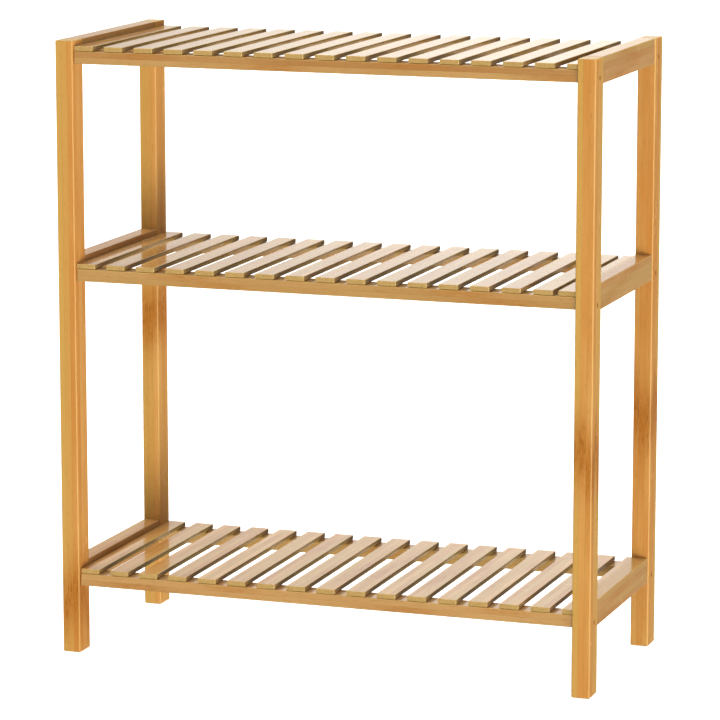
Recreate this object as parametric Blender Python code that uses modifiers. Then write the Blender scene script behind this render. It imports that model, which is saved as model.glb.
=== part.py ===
"""A free-standing bathroom rack of lacquered bamboo with three slatted shelves.

Two side ladders, each of two legs and three side rails, stand left and right. Three
slatted shelves span them. Each shelf has a front and a back long rail with slats laid
across, and four screws pass through the legs into the ends of its long rails.

Metres, +Z up, the front towards -Y, the origin on the floor under the rack's middle.
"""

import math

import bmesh
import bpy
from mathutils import Matrix, Vector

# Overall size, and the clearance left between pieces that touch
WIDTH = 0.600
DEPTH = 0.260
HEIGHT = 0.672
GAP = 0.0003

# Legs
LEG_X = 0.020
LEG_Y = 0.028
LEG_ROUND = 0.0013

# Side rails, between a front and a back leg, on two dowels at each end
SIDE_RAIL_X = 0.0185
SIDE_RAIL_Z = 0.028
SIDE_RAIL_INSET = 0.001
RAIL_ROUND = 0.001
DOWEL_RADIUS = 0.003
DOWEL_OUT = 0.009
DOWEL_SPREAD = 0.014

# Shelves: each level is the height of its side rails' upper edge
LEVELS = {"top": HEIGHT, "middle": 0.437, "bottom": 0.100}
LONG_RAIL_Y = 0.025
LONG_RAIL_Z = 0.0135
LONG_RAIL_SETBACK = 0.003
SLAT_X = 0.0212
SLAT_Z = 0.0052
SLAT_DROP = 0.006
SLAT_PITCH = 0.0342
SLAT_SETBACK = 0.0034
SLAT_ROUND = 0.0006
SLAT_COUNT = 17
FIRST_SLAT = 0.0205
LAST_SLAT_X = {"top": 0.012, "middle": 0.019, "bottom": 0.012}
RUNGS = (0, 3, 6, 10, 13, 16)
RUNG_SINK = 0.0005

# Screws
SCREW_FROM_FACE = 0.015
SCREW_ABOVE_RAIL = 0.0043
SCREW_LENGTH = 0.036
SCREW_SUNK = 0.0015
HEAD_RADIUS = 0.0023
HEAD_DEPTH = 0.0019
SHANK_RADIUS = 0.0016
SOCKET_ACROSS = 0.0022
SOCKET_DEPTH = 0.0012
ROUND_SIDES = 12

# Heights that follow from the above, measured down from a shelf's level
SLAT_UNDERSIDE = -SLAT_DROP - SLAT_Z
RAIL_TOP = SLAT_UNDERSIDE - GAP
RAIL_BOTTOM = RAIL_TOP - LONG_RAIL_Z
SCREW_HEIGHT = RAIL_BOTTOM + SCREW_ABOVE_RAIL

# Colours in linear light
BAMBOO_LEG = (0.62, 0.32, 0.085, 1.0)
BAMBOO_RAIL = (0.56, 0.31, 0.12, 1.0)
BAMBOO_SLAT = (0.64, 0.40, 0.18, 1.0)
BRONZED_STEEL = (0.16, 0.09, 0.05, 1.0)

SIDES = {"left": -1, "right": 1}
ENDS = {"front": -1, "back": 1}


def clear_scene():
    """Remove every object that is in the file."""
    for obj in list(bpy.data.objects):
        bpy.data.objects.remove(obj, do_unlink=True)


def new_collection(name):
    """Add a collection to the scene."""
    collection = bpy.data.collections.new(name)
    bpy.context.scene.collection.children.link(collection)
    return collection


def new_material(name, colour, roughness, metallic=0.0):
    """Make a plain Principled material."""
    material = bpy.data.materials.new(name)
    material.use_nodes = True
    shader = material.node_tree.nodes["Principled BSDF"]
    shader.inputs["Base Color"].default_value = colour
    shader.inputs["Roughness"].default_value = roughness
    shader.inputs["Metallic"].default_value = metallic
    material.diffuse_color = colour
    return material


def mesh_of_boxes(name, boxes):
    """Make one mesh of separate boxes, each given by its lowest and highest corner."""
    bm = bmesh.new()
    for low, high in boxes:
        size = Vector(high) - Vector(low)
        middle = (Vector(high) + Vector(low)) / 2
        matrix = Matrix.Translation(middle) @ Matrix.Diagonal((*size, 1.0))
        bmesh.ops.create_cube(bm, size=1.0, matrix=matrix)
    return finish_mesh(bm, name)


def mesh_of_cylinders(name, cylinders, sides=ROUND_SIDES):
    """Make one mesh of separate cylinders, each given by centre, axis, radius and length."""
    bm = bmesh.new()
    for centre, axis, radius, length in cylinders:
        turn = Vector((0, 0, 1)).rotation_difference(Vector(axis)).to_matrix().to_4x4()
        bmesh.ops.create_cone(bm, cap_ends=True, segments=sides, radius1=radius, radius2=radius,
                              depth=length, matrix=Matrix.Translation(centre) @ turn)
    return finish_mesh(bm, name)


def finish_mesh(bm, name):
    """Turn a bmesh into mesh data."""
    mesh = bpy.data.meshes.new(name)
    bm.to_mesh(mesh)
    bm.free()
    return mesh


def add_object(name, mesh, collection, material=None, parent=None, location=(0, 0, 0)):
    """Put a mesh into a collection as a named object."""
    obj = bpy.data.objects.new(name, mesh)
    collection.objects.link(obj)
    obj.parent = parent
    obj.location = location
    if material and not mesh.materials:
        mesh.materials.append(material)
    return obj


def add_helper(name, mesh, parent=None, location=(0, 0, 0)):
    """Put a mesh among the cutters, which only shape other pieces."""
    obj = add_object(name, mesh, cutters, None, parent, location)
    obj.hide_render = True
    obj.display_type = "WIRE"
    return obj


def add_level(name, height):
    """Add the empty that a shelf's pieces hang from."""
    level = bpy.data.objects.new(name, None)
    rack.objects.link(level)
    level.location = (0, 0, height)
    return level


def round_edges(obj, width, segments):
    """Round an object's edges with a Bevel modifier."""
    bevel = obj.modifiers.new("rounded edges", "BEVEL")
    bevel.width = width
    bevel.segments = segments
    bevel.limit_method = "ANGLE"


def combine(obj, other, operation):
    """Join another object to this one, or cut it away, with a Boolean modifier."""
    boolean = obj.modifiers.new(operation.lower(), "BOOLEAN")
    boolean.operation = operation
    boolean.object = other
    boolean.solver = "EXACT"


def screw_places(side, end):
    """Give a screw's distance from the middle along X at the leg's outer face, and its Y."""
    return side * WIDTH / 2, end * (DEPTH / 2 - SCREW_FROM_FACE)


def make_leg(side_name, end_name):
    """Make a leg with its screw holes and the sockets for the side rails' dowels."""
    side, end = SIDES[side_name], ENDS[end_name]
    name = f"leg_{end_name}_{side_name}"
    centre = Vector((side * (WIDTH - LEG_X) / 2, end * (DEPTH - LEG_Y) / 2, HEIGHT / 2))
    half = Vector((LEG_X, LEG_Y, HEIGHT)) / 2
    leg = add_object(name, mesh_of_boxes(name, [(-half, half)]), rack, leg_material, None, centre)
    round_edges(leg, LEG_ROUND, 2)

    outer, screw_y = screw_places(side, end)
    dowel_x = side * (WIDTH / 2 - SIDE_RAIL_INSET - SIDE_RAIL_X / 2)
    inner_y = end * (DEPTH / 2 - LEG_Y)
    socket_depth = DOWEL_OUT + GAP
    recess_depth = SCREW_SUNK + HEAD_DEPTH + GAP
    narrow, wide = [], []
    for level in LEVELS.values():
        screw_z = level + SCREW_HEIGHT
        narrow.append(((outer, screw_y, screw_z), (1, 0, 0), SHANK_RADIUS + GAP, 3 * LEG_X))
        wide.append(((outer, screw_y, screw_z), (1, 0, 0), HEAD_RADIUS + GAP, 2 * recess_depth))
        for shift in (-DOWEL_SPREAD / 2, DOWEL_SPREAD / 2):
            dowel_z = level - SIDE_RAIL_Z / 2 + shift
            narrow.append(((dowel_x, inner_y, dowel_z), (0, 1, 0), DOWEL_RADIUS + GAP,
                           2 * socket_depth))
    combine(leg, add_helper(f"{name}_bores", mesh_of_cylinders("bores", narrow)), "DIFFERENCE")
    combine(leg, add_helper(f"{name}_recesses", mesh_of_cylinders("recesses", wide)), "DIFFERENCE")


def make_side_rail(level_name, level, side_name):
    """Make a side rail with its dowels standing out at both ends."""
    name = f"side_rail_{level_name}_{side_name}"
    length = DEPTH - 2 * LEG_Y - 2 * GAP
    half = Vector((SIDE_RAIL_X, length, SIDE_RAIL_Z)) / 2
    centre = (SIDES[side_name] * (WIDTH / 2 - SIDE_RAIL_INSET - SIDE_RAIL_X / 2), 0, -half.z)
    rail = add_object(name, mesh_of_boxes(name, [(-half, half)]), rack, rail_material, level,
                      centre)
    round_edges(rail, RAIL_ROUND, 2)
    dowel_length = DEPTH - 2 * LEG_Y + 2 * DOWEL_OUT
    dowels = [((0, 0, shift), (0, 1, 0), DOWEL_RADIUS, dowel_length)
              for shift in (-DOWEL_SPREAD / 2, DOWEL_SPREAD / 2)]
    helper = add_helper(f"{name}_dowels", mesh_of_cylinders("dowels", dowels), level, centre)
    combine(rail, helper, "UNION")


def slat_span(index, level_name):
    """Give the left and right edge of a slat, the last one being ripped to fit."""
    inner_right = WIDTH / 2 - LEG_X - GAP
    if index == SLAT_COUNT - 1:
        return inner_right - LAST_SLAT_X[level_name], inner_right
    left = -WIDTH / 2 + FIRST_SLAT + index * SLAT_PITCH
    return left, left + SLAT_X


def slat_box(index, level_name, underside):
    """Give a slat's lowest and highest corner, down from its shelf's level."""
    left, right = slat_span(index, level_name)
    reach = DEPTH / 2 - SLAT_SETBACK
    return (left, -reach, underside), (right, reach, -SLAT_DROP)


def make_shelf_frame(level_name, level):
    """Make the two long rails and the slats that are glued across as rungs, as one body."""
    end_x = WIDTH / 2 - LEG_X - GAP
    outer_y = DEPTH / 2 - LONG_RAIL_SETBACK
    inner_y = outer_y - LONG_RAIL_Y
    front = ((-end_x, -outer_y, RAIL_BOTTOM), (end_x, -inner_y, RAIL_TOP))
    back = ((-end_x, inner_y, RAIL_BOTTOM), (end_x, outer_y, RAIL_TOP))
    rungs = [slat_box(index, level_name, RAIL_TOP - RUNG_SINK) for index in RUNGS]

    name = f"shelf_frame_{level_name}"
    frame = add_object(name, mesh_of_boxes(name, [front, back]), rack, rail_material, level)
    round_edges(frame, RAIL_ROUND, 2)
    helper = add_helper(f"{name}_rungs", mesh_of_boxes("rungs", rungs), level)
    round_edges(helper, SLAT_ROUND, 1)
    combine(frame, helper, "UNION")

    depth = SCREW_SUNK + SCREW_LENGTH + GAP
    bores = []
    for side in SIDES.values():
        for end in ENDS.values():
            outer, screw_y = screw_places(side, end)
            bores.append(((outer, screw_y, SCREW_HEIGHT), (1, 0, 0), SHANK_RADIUS + GAP, 2 * depth))
    combine(frame, add_helper(f"{name}_bores", mesh_of_cylinders("bores", bores), level),
            "DIFFERENCE")


def make_slats(level_name, level):
    """Make a shelf's loose slats, which share a mesh where they are the same."""
    mesh = None
    for index in range(SLAT_COUNT):
        if index in RUNGS:
            continue
        low, high = (Vector(corner) for corner in slat_box(index, level_name, SLAT_UNDERSIDE))
        half = (high - low) / 2
        mesh = mesh or mesh_of_boxes(f"slat_{level_name}", [(-half, half)])
        slat = add_object(f"slat_{level_name}_{index + 1:02d}", mesh, rack, slat_material, level,
                          (low + high) / 2)
        round_edges(slat, SLAT_ROUND, 1)


def make_screw_mesh():
    """Turn a screw's profile about Z, head up, and cut the hexagon socket into its head."""
    rim = HEAD_RADIUS * 0.1
    profile = [(0, 0), (HEAD_RADIUS - rim, 0), (HEAD_RADIUS, -rim), (HEAD_RADIUS, -HEAD_DEPTH / 2),
               (SHANK_RADIUS, -HEAD_DEPTH), (SHANK_RADIUS, 2 * SHANK_RADIUS - SCREW_LENGTH),
               (0, -SCREW_LENGTH)]
    bm = bmesh.new()
    points = [bm.verts.new((radius, 0, height)) for radius, height in profile]
    for start, stop in zip(points, points[1:]):
        bm.edges.new((start, stop))
    master = add_object("screw_master", finish_mesh(bm, "screw"), cutters)
    turn = master.modifiers.new("turned", "SCREW")
    turn.steps = turn.render_steps = ROUND_SIDES
    turn.use_merge_vertices = True
    turn.merge_threshold = 0.00001
    key = [((0, 0, 0), (0, 0, 1), SOCKET_ACROSS / math.sqrt(3), 2 * SOCKET_DEPTH)]
    socket = add_helper("screw_socket", mesh_of_cylinders("socket", key, sides=6))
    combine(master, socket, "DIFFERENCE")

    evaluated = master.evaluated_get(bpy.context.evaluated_depsgraph_get())
    mesh = bpy.data.meshes.new_from_object(evaluated)
    for helper in (master, socket):
        bpy.data.objects.remove(helper, do_unlink=True)
    return mesh


def make_screws(level_name, level, mesh):
    """Drive the four screws of a shelf, their heads sunk into the legs' outer faces."""
    for side_name, side in SIDES.items():
        for end_name, end in ENDS.items():
            outer, screw_y = screw_places(side, end)
            place = (outer - side * SCREW_SUNK, screw_y, SCREW_HEIGHT)
            screw = add_object(f"screw_{level_name}_{end_name}_{side_name}", mesh, rack,
                               steel_material, level, place)
            screw.rotation_euler = (0, side * math.pi / 2, 0)


clear_scene()
rack = new_collection("towel_rack")
cutters = new_collection("cutters")

leg_material = new_material("bamboo_legs", BAMBOO_LEG, 0.25)
rail_material = new_material("bamboo_rails", BAMBOO_RAIL, 0.25)
slat_material = new_material("bamboo_slats", BAMBOO_SLAT, 0.2)
steel_material = new_material("bronzed_steel", BRONZED_STEEL, 0.4, metallic=1.0)

for side_label in SIDES:
    for end_label in ENDS:
        make_leg(side_label, end_label)

screw_mesh = make_screw_mesh()
for label, level_height in LEVELS.items():
    shelf_level = add_level(f"level_{label}", level_height)
    for side_label in SIDES:
        make_side_rail(label, shelf_level, side_label)
    make_shelf_frame(label, shelf_level)
    make_slats(label, shelf_level)
    make_screws(label, shelf_level, screw_mesh)
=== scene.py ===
"""The looks of a free-standing bamboo bathroom rack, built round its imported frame.

Each side ladder is two legs, three side rails and the dowels between them. Each shelf is
two long rails, a row of slats and four sunk screws. Every size comes from the frame, or
from the named fields of the class that makes the piece. Metres, +Z up, front towards -Y.
"""

import logging
import math
import random
from dataclasses import dataclass, field
from enum import Enum
from typing import Any

import bmesh
import bpy
from mathutils import Matrix, Vector


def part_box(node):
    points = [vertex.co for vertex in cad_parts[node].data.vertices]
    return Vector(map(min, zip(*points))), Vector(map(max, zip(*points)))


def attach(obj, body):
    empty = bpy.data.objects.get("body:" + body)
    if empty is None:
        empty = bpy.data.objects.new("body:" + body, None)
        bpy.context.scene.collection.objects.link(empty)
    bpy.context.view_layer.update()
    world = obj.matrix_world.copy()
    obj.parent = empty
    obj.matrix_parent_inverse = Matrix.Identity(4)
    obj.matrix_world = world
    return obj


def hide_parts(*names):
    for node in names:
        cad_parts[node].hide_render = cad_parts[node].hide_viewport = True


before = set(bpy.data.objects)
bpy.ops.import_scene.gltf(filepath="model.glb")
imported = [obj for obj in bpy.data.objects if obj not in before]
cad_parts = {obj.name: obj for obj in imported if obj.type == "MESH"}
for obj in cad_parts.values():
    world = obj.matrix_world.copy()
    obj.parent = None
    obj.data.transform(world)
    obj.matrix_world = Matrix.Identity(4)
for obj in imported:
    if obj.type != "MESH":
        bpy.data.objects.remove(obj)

LOG = logging.getLogger("rack")
BODY = "root"
MM = 0.001
OVERHANG = 0.3 * MM
Colour = tuple[float, float, float]
Socket = bpy.types.NodeSocket


class Side(Enum):
    """The left or right end of the rack, with its direction along X."""

    LEFT = -1
    RIGHT = 1

    @property
    def word(self) -> str:
        """The side's name as node names spell it."""
        return self.name.lower()


class Face(Enum):
    """The front or the back of the rack, with its direction along Y."""

    FRONT = -1
    BACK = 1

    @property
    def word(self) -> str:
        """The face's name as node names spell it."""
        return self.name.lower()


class Level(Enum):
    """A shelf, with the seed that its small irregularities grow from."""

    TOP = 11
    MIDDLE = 23
    BOTTOM = 37

    @property
    def word(self) -> str:
        """The level's name as node names spell it."""
        return self.name.lower()


class Grain(Enum):
    """The row axis that a piece's fibres follow, then the two axes across it."""

    ALONG_X = ("X", "Y", "Z")
    ALONG_Y = ("Y", "X", "Z")
    ALONG_Z = ("Z", "X", "Y")

    @property
    def along(self) -> str:
        """The axis of the fibres."""
        return self.value[0]

    @property
    def across(self) -> tuple[str, str]:
        """The two axes at right angles to the fibres."""
        return self.value[1], self.value[2]


# --- Node trees ---------------------------------------------------------------------------


class Graph:
    """Adds, feeds and links the nodes of one tree, of shaders or of geometry."""

    def __init__(self, tree: bpy.types.NodeTree) -> None:
        """Work on a tree."""
        self.tree = tree
        self.column = 0

    def add(self, kind: str, **settings: Any) -> bpy.types.Node:
        """Add a node.

        Args:
            kind: the node's type name.
            settings: attributes of the node to set, such as its operation.

        Returns:
            The new node, placed to the right of the one before.
        """
        node = self.tree.nodes.new(kind)
        self.column += 1
        node.location = (self.column * 190, -(self.column % 5) * 160)
        for name, value in settings.items():
            setattr(node, name, value)
        return node

    @staticmethod
    def socket(sockets: Any, name: str | int) -> Socket:
        """Find a socket that the node's settings leave in use.

        Args:
            sockets: a node's inputs or outputs.
            name: the socket's name, or its place in the row.

        Returns:
            The socket.
        """
        if isinstance(name, int):
            return sockets[name]
        return next(s for s in sockets if s.name == name and s.enabled)

    def feed(self, node: bpy.types.Node, **values: Any) -> bpy.types.Node:
        """Link sockets or set values on a node's inputs.

        Args:
            node: the node to feed.
            values: input names, with _ for a space, and a socket or a plain value each.

        Returns:
            The same node.
        """
        for name, value in values.items():
            target = self.socket(node.inputs, name.replace("_", " "))
            self.put(target, value)
        return node

    def put(self, target: Socket, value: Any) -> None:
        """Link a socket to an input, or set the input's own value.

        Args:
            target: the input.
            value: a socket or a plain value.
        """
        if isinstance(value, bpy.types.NodeSocket):
            self.tree.links.new(value, target)
        else:
            target.default_value = value

    def math(self, operation: str, *values: Any, clamp: bool = False) -> Socket:
        """Add a Math node.

        Args:
            operation: the node's operation.
            values: its inputs in order, sockets or numbers.
            clamp: whether the result is held between 0 and 1.

        Returns:
            The result's socket.
        """
        node = self.add("ShaderNodeMath", operation=operation, use_clamp=clamp)
        for place, value in enumerate(values):
            self.put(node.inputs[place], value)
        return node.outputs[0]

    def vector(self, operation: str, *values: Any) -> Socket:
        """Add a Vector Math node.

        Args:
            operation: the node's operation.
            values: its vectors in order, sockets or triples.

        Returns:
            The resulting vector's socket.
        """
        node = self.add("ShaderNodeVectorMath", operation=operation)
        for place, value in enumerate(values):
            self.put(node.inputs[place], value)
        return node.outputs["Vector"]

    def scale(self, vector: Any, factor: Any) -> Socket:
        """Multiply a vector by a number.

        Args:
            vector: the vector, a socket or a triple.
            factor: the number, a socket or a plain one.

        Returns:
            The resulting vector's socket.
        """
        node = self.add("ShaderNodeVectorMath", operation="SCALE")
        self.put(node.inputs[0], vector)
        self.put(self.socket(node.inputs, "Scale"), factor)
        return node.outputs["Vector"]

    def sway(self, value: Any, share: Any) -> Socket:
        """Turn a number between 0 and 1 into a sway to both sides of 0."""
        return self.math("MULTIPLY", self.math("SUBTRACT", value, 0.5), share)

    def combine(self, x: Any = 0.0, y: Any = 0.0, z: Any = 0.0) -> Socket:
        """Join three numbers into a vector."""
        return self.feed(self.add("ShaderNodeCombineXYZ"), X=x, Y=y, Z=z).outputs[0]

    def separate(self, vector: Socket) -> dict[str, Socket]:
        """Split a vector into its parts.

        Args:
            vector: the vector's socket.

        Returns:
            The parts' sockets, by X, Y and Z.
        """
        node = self.add("ShaderNodeSeparateXYZ")
        self.put(node.inputs[0], vector)
        return {name: node.outputs[name] for name in "XYZ"}

    def fade(self, value: Any, start: Any, stop: Any, low: Any = 0.0, high: Any = 1.0) -> Socket:
        """Run smoothly from low to high while a value goes from start to stop.

        Args:
            value: the number that drives the change.
            start: where the change begins.
            stop: where it ends.
            low: the result before start.
            high: the result after stop.

        Returns:
            The result's socket.
        """
        node = self.add("ShaderNodeMapRange", interpolation_type="SMOOTHSTEP")
        for place, given in enumerate((value, start, stop, low, high)):
            self.put(node.inputs[place], given)
        return node.outputs[0]

    def mix(self, factor: Any, first: Any, second: Any, blend: str = "MIX") -> Socket:
        """Mix two colours.

        Args:
            factor: the second colour's share.
            first: the first colour.
            second: the second colour.
            blend: the way they are mixed.

        Returns:
            The resulting colour's socket.
        """
        node = self.add("ShaderNodeMix", data_type="RGBA", blend_type=blend)
        for place, given in ((0, factor), (6, first), (7, second)):
            if isinstance(given, tuple) and len(given) == 3:
                given = (*given, 1.0)
            self.put(node.inputs[place], given)
        return node.outputs[2]

    def noise(self, vector: Socket, scale: Any, detail: float = 2.0,
              roughness: float = 0.5) -> bpy.types.Node:
        """Add a Noise Texture.

        Args:
            vector: its coordinates.
            scale: how many of its waves a metre of them holds.
            detail: how many finer layers it has.
            roughness: how strong those are.

        Returns:
            The texture node, whose Fac and Color are both of use.
        """
        node = self.add("ShaderNodeTexNoise")
        return self.feed(node, Vector=vector, Scale=scale, Detail=detail, Roughness=roughness)


def new_group(name: str, kind: str, inputs: dict[str, tuple[str, Any]],
              outputs: dict[str, str]) -> tuple[Graph, dict[str, Socket], bpy.types.Node]:
    """Start a node group.

    Args:
        name: the group's name.
        kind: the type of its tree.
        inputs: each input's name, with its socket type and its value, or None for no value.
        outputs: each output's name, with its socket type.

    Returns:
        A graph on the group, its inputs as sockets by name, and its output node.
    """
    tree = bpy.data.node_groups.new(name, kind)
    for label, (socket_type, value) in inputs.items():
        made = tree.interface.new_socket(label, in_out="INPUT", socket_type=socket_type)
        if value is not None:
            made.default_value = value
    for label, socket_type in outputs.items():
        tree.interface.new_socket(label, in_out="OUTPUT", socket_type=socket_type)
    graph = Graph(tree)
    start = graph.add("NodeGroupInput")
    return graph, {label: start.outputs[label] for label in inputs}, graph.add("NodeGroupOutput")


FLOAT, VECTOR, COLOUR = "NodeSocketFloat", "NodeSocketVector", "NodeSocketColor"
GEOMETRY, MATERIAL, OBJECT = "NodeSocketGeometry", "NodeSocketMaterial", "NodeSocketObject"
INTEGER = "NodeSocketInt"


class Effects:
    """The shader groups that more than one finish uses, each built once when first asked for."""

    _made: dict[str, bpy.types.NodeTree] = {}

    @classmethod
    def use(cls, graph: Graph, name: str, **values: Any) -> dict[str, Socket]:
        """Place a shared effect in a material.

        Args:
            graph: the material's graph.
            name: the effect, the name of one of this class's makers.
            values: what feeds the group's inputs, with _ for a space in their names.

        Returns:
            The group's outputs by name.
        """
        if name not in cls._made:
            cls._made[name] = getattr(cls, name)()
        node = graph.add("ShaderNodeGroup", node_tree=cls._made[name])
        graph.feed(node, **values)
        return {socket.name: socket for socket in node.outputs}

    @staticmethod
    def strips() -> bpy.types.NodeTree:
        """Make the group that lays out the strips a bamboo bar is laminated from.

        Returns:
            A group that gives each strip its own tone, hue and coordinates, and masks the
            glue lines between strips. Its coordinates run along the grain in Z.
        """
        inputs = {"Vector": (VECTOR, None), "Strip Width": (FLOAT, 0.007),
                  "Strip Depth": (FLOAT, 0.007), "Glue Line": (FLOAT, 0.0002),
                  "Offcut": (FLOAT, 6.0), "Scatter": (FLOAT, 3.0)}
        outputs = {"Tone": FLOAT, "Hue": FLOAT, "Strip Vector": VECTOR, "Seam": FLOAT}
        graph, given, end = new_group("Bamboo strips", "ShaderNodeTree", inputs, outputs)
        across = graph.separate(given["Vector"])
        counts, nearest = [], []
        for axis, size in (("X", given["Strip Width"]), ("Y", given["Strip Depth"])):
            place = graph.math("DIVIDE", across[axis], size)
            counts.append(graph.math("FLOOR", place))
            share = graph.math("FRACT", place)
            edge = graph.math("MINIMUM", share, graph.math("SUBTRACT", 1.0, share))
            nearest.append(graph.math("MULTIPLY", edge, size))
        cell = graph.combine(counts[0], counts[1], 0.5)
        chance = graph.add("ShaderNodeTexWhiteNoise", noise_dimensions="3D")
        graph.feed(chance, Vector=cell)
        split = graph.separate(chance.outputs["Color"])
        spread = graph.combine(given["Offcut"], given["Offcut"], given["Scatter"])
        centred = graph.vector("SUBTRACT", chance.outputs["Color"], (0.5, 0.5, 0.5))
        apart = graph.vector("MULTIPLY", centred, spread)
        closest = graph.math("MINIMUM", *nearest)
        seam = graph.fade(closest, 0.0, given["Glue Line"], 1.0, 0.0)
        graph.feed(end, Tone=split["X"], Hue=split["Y"], Seam=seam,
                   Strip_Vector=graph.vector("ADD", given["Vector"], apart))
        return graph.tree

    @staticmethod
    def fibres() -> bpy.types.NodeTree:
        """Make the group that draws bamboo's fibres.

        Returns:
            A group with soft streaks, short dark flecks, which are the vessels, slow clouds
            of tone along the grain, and a height for the relief.
        """
        inputs = {"Vector": (VECTOR, None), "Fineness": (FLOAT, 900.0), "Stretch": (FLOAT, 45.0)}
        outputs = {"Streaks": FLOAT, "Flecks": FLOAT, "Clouds": FLOAT, "Height": FLOAT}
        graph, given, end = new_group("Bamboo fibres", "ShaderNodeTree", inputs, outputs)
        squeeze = graph.combine(1.0, 1.0, graph.math("DIVIDE", 1.0, given["Stretch"]))
        drawn = graph.vector("MULTIPLY", given["Vector"], squeeze)
        streaks = graph.noise(drawn, given["Fineness"], 3.0, 0.65).outputs[0]
        broad = graph.noise(drawn, graph.math("MULTIPLY", given["Fineness"], 0.22), 2.0).outputs[0]
        both = graph.math("ADD", graph.math("MULTIPLY", streaks, 0.6),
                          graph.math("MULTIPLY", broad, 0.4))
        short = graph.vector("MULTIPLY", given["Vector"], (1.0, 1.0, 0.07))
        vessels = graph.noise(short, graph.math("MULTIPLY", given["Fineness"], 1.5), 1.0, 0.5)
        flecks = graph.fade(vessels.outputs[0], 0.62, 0.74)
        clouds = graph.noise(graph.vector("MULTIPLY", given["Vector"], (1.0, 1.0, 0.25)), 26.0)
        height = graph.math("SUBTRACT", both, graph.math("MULTIPLY", flecks, 0.5))
        graph.feed(end, Streaks=graph.fade(both, 0.32, 0.68), Flecks=flecks,
                   Clouds=graph.fade(clouds.outputs[0], 0.3, 0.7), Height=height)
        return graph.tree

    @staticmethod
    def joints() -> bpy.types.NodeTree:
        """Make the group that marks the joints of the bamboo cane along each strip.

        Returns:
            A group with the broad darker zone round a joint, the short dark streaks in it, a
            height for its ridge, and coordinates that bend there, for the fibres to follow.
        """
        inputs = {"Vector": (VECTOR, None), "Spacing": (FLOAT, 0.29), "Spread": (FLOAT, 0.04),
                  "Wobble": (FLOAT, 0.006), "Ridge": (FLOAT, 0.004), "Bend": (FLOAT, 0.012)}
        outputs = {"Zone": FLOAT, "Streaks": FLOAT, "Height": FLOAT, "Bent Vector": VECTOR}
        graph, given, end = new_group("Cane joints", "ShaderNodeTree", inputs, outputs)
        wobble = graph.noise(given["Vector"], 160.0, 1.0).outputs[0]
        along = graph.math("ADD", graph.separate(given["Vector"])["Z"],
                           graph.sway(wobble, given["Wobble"]))
        share = graph.math("FRACT", graph.math("DIVIDE", along, given["Spacing"]))
        away = graph.math("MULTIPLY", graph.math("SUBTRACT", share, 0.5), given["Spacing"])
        ratio = graph.math("DIVIDE", away, given["Spread"])
        square = graph.math("MULTIPLY", ratio, ratio)
        zone = graph.math("EXPONENT", graph.math("MULTIPLY", square, -1.0))
        near = graph.fade(graph.math("ABSOLUTE", ratio), 0.25, 1.1, 1.0, 0.0)
        short = graph.vector("MULTIPLY", given["Vector"], (1.0, 1.0, 0.1))
        fine = graph.noise(short, 800.0, 2.0, 0.6).outputs[0]
        streaks = graph.math("MULTIPLY", graph.fade(fine, 0.52, 0.68), near)
        ridge = graph.fade(graph.math("ABSOLUTE", away), 0.0, given["Ridge"], 1.0, 0.0)
        slow = graph.noise(graph.vector("MULTIPLY", given["Vector"], (1.0, 1.0, 0.5)), 70.0, 1.0)
        centred = graph.vector("SUBTRACT", slow.outputs["Color"], (0.5, 0.5, 0.5))
        bend = graph.scale(graph.vector("MULTIPLY", centred, (1.0, 1.0, 0.0)),
                           graph.math("MULTIPLY", zone, given["Bend"]))
        graph.feed(end, Zone=zone, Streaks=streaks, Height=ridge,
                   Bent_Vector=graph.vector("ADD", given["Vector"], bend))
        return graph.tree

    @staticmethod
    def sawn_end() -> bpy.types.NodeTree:
        """Make the group that shows the cut vessels where a bar ends.

        Returns:
            A group with a mask of the end faces and the dark dots of the vessels. Its normal
            is in the grain's own coordinates, so that the end faces along Z.
        """
        inputs = {"Vector": (VECTOR, None), "Facing": (VECTOR, None), "Fineness": (FLOAT, 900.0)}
        outputs = {"Mask": FLOAT, "Dots": FLOAT}
        graph, given, end = new_group("Sawn end", "ShaderNodeTree", inputs, outputs)
        facing = graph.math("ABSOLUTE", graph.separate(given["Facing"])["Z"])
        flat = graph.vector("MULTIPLY", given["Vector"], (1.0, 1.0, 0.0))
        cells = graph.add("ShaderNodeTexVoronoi", feature="F1")
        graph.feed(cells, Vector=flat, Scale=given["Fineness"])
        dots = graph.fade(cells.outputs["Distance"], 0.18, 0.42, 1.0, 0.0)
        graph.feed(end, Mask=graph.fade(facing, 0.72, 0.9), Dots=dots)
        return graph.tree

    @staticmethod
    def worn_edges() -> bpy.types.NodeTree:
        """Make the group that lightens and dulls a piece's rounded edges: on the bamboo the
        lightening is a painted highlight, on the screws it is rubbed wear.

        Returns:
            A group that changes a colour where the mesh's edge attribute is high, and masks
            where it did.
        """
        inputs = {"Colour": (COLOUR, None), "Worn Colour": (COLOUR, None), "Vector": (VECTOR, None),
                  "Edge": (FLOAT, 0.0), "Amount": (FLOAT, 0.5), "Patches": (FLOAT, 70.0)}
        outputs = {"Colour": COLOUR, "Mask": FLOAT}
        graph, given, end = new_group("Worn edges", "ShaderNodeTree", inputs, outputs)
        patches = graph.noise(given["Vector"], given["Patches"], 4.0, 0.6).outputs[0]
        broken = graph.fade(patches, 0.25, 0.6, 0.45, 1.0)
        wear_and_highlight = graph.math("MULTIPLY", graph.math("MULTIPLY", given["Edge"], given["Amount"]), broken)
        changed = graph.mix(wear_and_highlight, given["Colour"], given["Worn Colour"])
        graph.feed(end, Colour=changed, Mask=wear_and_highlight)
        return graph.tree

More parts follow.
